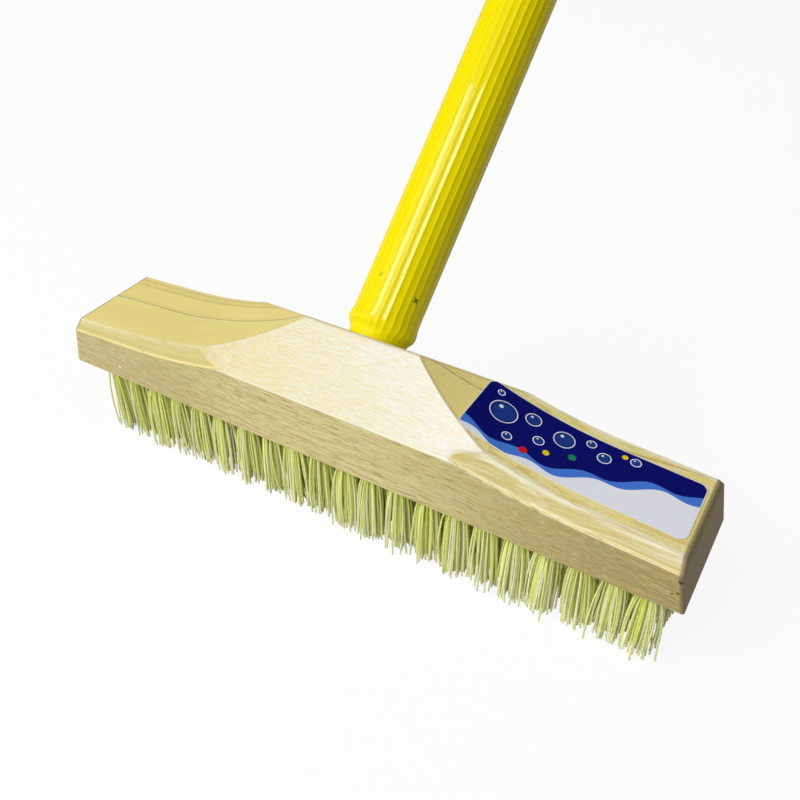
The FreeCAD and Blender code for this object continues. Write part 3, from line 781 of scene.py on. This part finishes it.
@dataclass
class BristleField:
    """The rows of tufts, each a splayed bundle of stiff filaments."""

    rows: int = 5
    pitch: float = 10.6 * MM
    tip_radius: float = 3.8 * MM
    root_radius: float = 2.35 * MM
    bury: float = 4.0 * MM
    base: float = 28.0 * MM
    filaments: int = 70
    thickness: float = 0.64 * MM
    sides: int = 5
    steps: int = 7
    flare: float = 2.1
    lean: float = 0.8 * MM
    gather: float = 1.6 * MM
    row_splay: float = 0.6 * MM
    end_tuft: float = 107 * MM
    outer_row: float = 16 * MM
    sway: float = 0.5
    jitter: float = 0.62
    stray: float = 2.0
    stray_share: float = 0.07
    uneven: float = 0.8
    short_share: float = 0.06
    tip_gap: float = 0.15
    shortest: float = 5.0
    bow_share: float = 0.8
    seed: int = 41

    def centres(self, row: int) -> list[Vector]:
        """Return where the tufts of a row leave the block."""
        low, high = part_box(f"tuft_row_{row}")
        count = round((high.x - low.x - 2 * self.tip_radius) / self.pitch) + 1
        middle = (low.y + high.y) / 2
        return [Vector((low.x + self.tip_radius + turn * self.pitch, middle, self.base)) for turn in range(count)]

    def tuft(self, centre: Vector, chance: random.Random) -> list[Filament]:
        """Return the filaments of one tuft.

        Args:
            centre: Where the tuft leaves the block.
            chance: The source of random numbers.

        Returns:
            Its filaments.
        """
        golden = math.pi * (3 - math.sqrt(5))
        lean = Vector((chance.gauss(0, self.sway), chance.gauss(0, self.sway), 0)) * MM
        lean.x += self.lean + self.gather * max(0.0, -centre.x / self.end_tuft) ** 5
        lean.y += self.row_splay * centre.y / self.outer_row
        bundle = []
        for index in range(self.filaments):
            span = math.sqrt((index + 0.5) / self.filaments) * self.root_radius
            angle = index * golden + chance.uniform(-0.3, 0.3)
            out = Vector((math.cos(angle), math.sin(angle), 0)) * span
            stray = self.stray if chance.random() < self.stray_share else self.jitter
            jitter = Vector((chance.gauss(0, stray), chance.gauss(0, stray), 0)) * MM
            short = abs(chance.gauss(0, self.uneven))
            if chance.random() < self.short_share:
                short += chance.uniform(1, 4)
            tip = centre + out * self.flare * chance.uniform(0.85, 1.15) + jitter + lean
            tip.z = (self.tip_gap + min(short, self.shortest)) * MM
            bow = out * chance.uniform(0.0, 0.35)
            bow += Vector((chance.gauss(0, self.sway), chance.gauss(0, self.sway), 0)) * MM
            root = centre + out + Vector((0, 0, self.bury))
            bundle.append(Filament(root, tip, bow * self.bow_share, chance.random() ** 1.4))
        return bundle

    def row_mesh(self, row: int) -> bmesh.types.BMesh:
        """Return the filaments of a row as one bmesh."""
        chance = random.Random(self.seed + row)
        bundle = [strand for centre in self.centres(row) for strand in self.tuft(centre, chance)]
        mesh = bmesh.new()
        number = mesh.verts.layers.int.new("number")
        tone = mesh.verts.layers.float.new("tone")
        reach = mesh.verts.layers.float.new("reach")
        for index, strand in enumerate(bundle):
            start = Matrix.Translation(strand.root) @ Matrix.Rotation(index * 1.3, 4, "Z")
            made = bmesh.ops.create_circle(mesh, cap_ends=True, segments=self.sides, radius=self.thickness / 2,
                                           matrix=start)
            for vert in made["verts"]:
                vert[number] = index
                vert[tone] = strand.tone
        ring = mesh.edges[:]
        for step in range(1, self.steps + 1):
            now, before = step / self.steps, (step - 1) / self.steps
            moves = [strand.at(now) - strand.at(before) for strand in bundle]
            verts, ring = extrude_rings(mesh, ring)
            for vert in verts:
                vert.co += moves[vert[number]]
                vert[reach] = now
        bmesh.ops.edgeloop_fill(mesh, edges=ring)
        bmesh.ops.recalc_face_normals(mesh, faces=mesh.faces[:])
        return mesh

    def build(self) -> None:
        """Make every row of filaments."""
        material = BristleFinish().material()
        for row in range(1, self.rows + 1):
            finish_piece(self.row_mesh(row), f"filaments_{row}", f"tuft_row_{row}", Body.HEAD,
                         material, 60)


class HandleAxis:
    """The line that the handle turns about, read from the frame's hinge."""

    def __init__(self) -> None:
        """Read the seat and the directions along, beside and in front of the handle."""
        hinge = next(joint for joint in frame["joints"] if joint["name"] == "handle_turn")
        self.seat = Vector(hinge["pos_m"])
        self.along = Vector(hinge["axis"]).normalized()
        self.side = Vector((1, 0, 0))
        self.front = self.along.cross(self.side)

    def matrix(self) -> Matrix:
        """Return the turn and shift from an upright handle to this one."""
        turn = Matrix((self.side, self.front, self.along)).transposed().to_4x4()
        return Matrix.Translation(self.seat) @ turn


@dataclass
class Handle:
    """The yellow sleeve, the steel tube in it, the screw plug and the hanging cap."""

    ribs: int = 28
    first_rib: float = 1.43
    rib_height: float = 0.09
    facet_sag: float = 0.06
    rib_places: tuple = (0.0, 0.055, 0.12, 0.5, 0.88, 0.945)
    rib_shares: tuple = (1.0, 0.75, 0.0, 0.0, 0.0, 0.75)
    flat: int = 3
    neck: tuple = ((-1.9, 9.9), (-0.6, 9.98), (0.2, 10.1), (0.9, 10.22), (1.5, 10.36), (2.0, 10.6),
                   (2.4, 10.9), (2.8, 11.2), (3.2, 11.5), (3.7, 11.72), (4.4, 11.88), (5.3, 11.93),
                   (6.2, 11.86), (7.2, 11.66), (8.4, 11.5), (10.0, 11.43), (14.0, 11.42), (20.0, 11.43))
    reach: float = 1198.0
    grip: float = 1170.0
    spans: int = 46
    radius: float = 11.43
    bore: float = 11.16
    neck_bore: float = 9.72
    neck_heights: tuple = (6.2, 3.0)
    under_cap: float = 0.08
    wave_height: float = 0.05
    wave_turn: float = 1.2
    wave_length: float = 45.0
    cap_edge: float = 0.5

    def stations(self) -> list[tuple[float, float, float]]:
        """Return the rings of the sleeve, up its outside and down its inside.

        Returns:
            The height, radius and rib share of each ring.
        """
        start = self.neck[-1][0]
        straight = [(start + (self.grip - start) * step / self.spans, self.radius)
                    for step in range(1, self.spans)]
        outside = [(rise, size, min(1.0, max(0.0, (rise + 0.5) / 3))) for rise, size in (*self.neck, *straight)]
        slim = self.radius - self.under_cap
        top = [(self.grip, self.radius, 1.0), (self.grip + 2, slim, 0.0), (self.reach, slim, 0.0)]
        shoulder, throat = self.neck_heights
        inside = [(self.reach, self.bore, 0.0), (shoulder, self.bore, 0.0), (throat, self.neck_bore, 0.0),
                  (self.neck[0][0], self.neck_bore, 0.0)]
        return outside + top + inside

    def wave(self, angle: float, rise: float) -> float:
        """Return how far the film stands off its round, in millimetres, from the pull of its making."""
        turn = self.wave_turn
        spot = Vector((math.cos(angle) * turn, math.sin(angle) * turn, rise / self.wave_length))
        return self.wave_height * noise.noise(spot)

    def sleeve_mesh(self, axis: HandleAxis) -> bmesh.types.BMesh:
        """Return the ribbed sleeve as a closed bmesh."""
        count = self.ribs * len(self.rib_places)
        mesh = bmesh.new()
        number = mesh.verts.layers.int.new("number")
        rib_highlight = mesh.verts.layers.float.new("rib_highlight")
        first = bmesh.ops.create_circle(mesh, segments=count, radius=self.bore * MM)["verts"]
        for index, vert in enumerate(first):
            vert[number] = index
        start = mesh.edges[:]
        ring, verts = start, first
        for level, (rise, size, share) in enumerate(self.stations()):
            if level:
                verts, ring = extrude_rings(mesh, ring)
            for vert in verts:
                turn, place = divmod(vert[number], len(self.rib_places))
                angle = math.radians(self.first_rib) + (turn + self.rib_places[place]) * 2 * math.pi / self.ribs
                lift = share * (self.rib_height * self.rib_shares[place] - self.facet_sag * (place == self.flat))
                lift += self.wave(angle, rise) * share
                vert.co = Vector((math.cos(angle), math.sin(angle), 0)) * (size + lift) * MM
                vert.co.z = rise * MM
                # Weight of the painted highlight on the ribs.
                vert[rib_highlight] = share * self.rib_shares[place]
        bmesh.ops.bridge_loops(mesh, edges=start + ring)
        bmesh.ops.recalc_face_normals(mesh, faces=mesh.faces[:])
        bmesh.ops.transform(mesh, matrix=axis.matrix(), verts=mesh.verts[:])
        return mesh

    def cap_mesh(self) -> bmesh.types.BMesh:
        """Return the hanging cap with its sharp edges rounded off."""
        mesh = bmesh.new()
        mesh.from_mesh(frame["nodes"]["hang_cap"].data)
        bmesh.ops.remove_doubles(mesh, verts=mesh.verts[:], dist=0.002 * MM)
        bmesh.ops.dissolve_limit(mesh, angle_limit=math.radians(1), verts=mesh.verts[:], edges=mesh.edges[:])
        sharp = [edge for edge in mesh.edges if edge.calc_face_angle(0.0) > math.radians(30)]
        bmesh.ops.bevel(mesh, geom=sharp, offset=self.cap_edge * MM, affect="EDGES", segments=3, profile=0.5,
                        material=-1, clamp_overlap=True)
        return mesh

    def build(self) -> None:
        """Make the sleeve and the cap, and dress the tube and the plug."""
        axis = HandleAxis()
        finish_piece(self.sleeve_mesh(axis), "ribbed_sleeve", "handle_sleeve", Body.HANDLE,
                     FilmFinish().material(axis), 50)
        cap = PlasticFinish("cap_plastic", (0.86, 0.68, 0.01), (0.72, 0.55, 0.02), 0.36)
        finish_piece(self.cap_mesh(), "rounded_cap", "hang_cap", Body.HANDLE, cap.material(), 35)
        dress("handle_tube", SteelFinish("drawn_tube").material())
        plug = PlasticFinish("plug_plastic", (0.74, 0.74, 0.70), (0.60, 0.59, 0.54), 0.42)
        dress("screw_plug", plug.material())


@dataclass
class Studio:
    """The pale floor, the soft lights and the camera."""

    floor: float = 6.0
    eye: tuple = (0.12926, -0.19253, 0.22675)
    look: tuple = (-0.39984, 0.67101, -0.62440)
    lens: float = 38.97
    sensor: float = 36.0
    near_clip: float = 0.01
    aim: tuple = (0.0, 0.0, 0.05)
    key_from: tuple = (-0.44, -0.55, 0.70)
    key_gap: float = 1.9
    key_size: float = 1.5
    key_level: float = 0.76
    front_from: tuple = (0.06, -0.95, 0.27)
    front_gap: float = 1.6
    front_size: float = 1.0
    front_level: float = 0.22
    gloss_at: tuple = (0.0, -0.48, 1.25)
    gloss_size: tuple = (0.56, 0.48)
    gloss_power: float = 34.0
    fill: float = 0.31
    gloss_fill: float = 0.04

    def lay_floor(self) -> None:
        """Lay the floor under the bristle tips."""
        mesh = bmesh.new()
        bmesh.ops.create_grid(mesh, x_segments=1, y_segments=1, size=self.floor)
        data = bpy.data.meshes.new("floor")
        mesh.to_mesh(data)
        mesh.free()
        data.materials.append(FloorFinish().material())
        floor = bpy.data.objects.new("floor", data)
        bpy.context.scene.collection.objects.link(floor)

    def lamp(self, name: str, spot: Vector, aim: Vector, size: tuple[float, float],
             power: float) -> bpy.types.Object:
        """Hang an area lamp.

        Args:
            name: Its name.
            spot: Where it hangs.
            aim: The point that it faces.
            size: Its two sides, in metres.
            power: Its power, in watts.

        Returns:
            The lamp.
        """
        data = bpy.data.lights.new(name, "AREA")
        data.shape = "RECTANGLE"
        data.size, data.size_y = size
        data.energy = power
        lamp = bpy.data.objects.new(name, data)
        lamp.location = spot
        lamp.rotation_euler = (aim - spot).to_track_quat("-Z", "Y").to_euler()
        bpy.context.scene.collection.objects.link(lamp)
        return lamp

    def light(self) -> None:
        """Hang the lamps and set the world."""
        key = ("key", self.key_from, self.key_gap, self.key_size, self.key_level)
        front = ("front", self.front_from, self.front_gap, self.front_size, self.front_level)
        for name, way, gap, size, level in (key, front):
            self.lamp(name, Vector(way).normalized() * gap, Vector(self.aim), (size, size),
                      level * math.pi ** 2 * gap ** 2)
        above = Vector(self.gloss_at)
        below = above - Vector((0, 0.0001, 1))
        gloss_box = self.lamp("gloss_box", above, below, self.gloss_size, self.gloss_power)
        gloss_box.visible_diffuse = False
        world = bpy.data.worlds.new("studio")
        world.use_nodes = True
        tree = world.node_tree
        ray = tree.nodes.new("ShaderNodeLightPath")
        back = tree.nodes["Background"]
        level = tree.nodes.new("ShaderNodeMapRange")
        level.inputs["To Min"].default_value = self.fill
        gloss = tree.nodes.new("ShaderNodeMapRange")
        gloss.inputs["To Max"].default_value = self.gloss_fill
        tree.links.new(ray.outputs["Is Camera Ray"], level.inputs["Value"])
        tree.links.new(ray.outputs["Is Glossy Ray"], gloss.inputs["Value"])
        tree.links.new(level.outputs["Result"], gloss.inputs["To Min"])
        tree.links.new(gloss.outputs["Result"], back.inputs["Strength"])
        back.inputs["Color"].default_value = (1, 1, 1, 1)
        bpy.context.scene.world = world

    def place_camera(self) -> None:
        """Set the camera where the picture was taken from."""
        data = bpy.data.cameras.new("camera")
        data.lens = self.lens
        data.sensor_width = self.sensor
        data.clip_start = self.near_clip
        camera = bpy.data.objects.new("camera", data)
        camera.location = self.eye
        camera.rotation_euler = Vector(self.look).to_track_quat("-Z", "Y").to_euler()
        bpy.context.scene.collection.objects.link(camera)
        bpy.context.scene.camera = camera

    def build(self) -> None:
        """Set up the camera, the floor and the light."""
        self.place_camera()
        self.lay_floor()
        self.light()
        bpy.context.scene.view_settings.view_transform = "Standard"
        log.info("studio ready")


def main() -> None:
    """Build the object in order, from the studio to the handle."""
    logging.basicConfig(level=logging.INFO, format="%(message)s")
    Studio().build()
    BrushHead().build()
    BristleField().build()
    Handle().build()


if __name__ == "__main__":
    main()
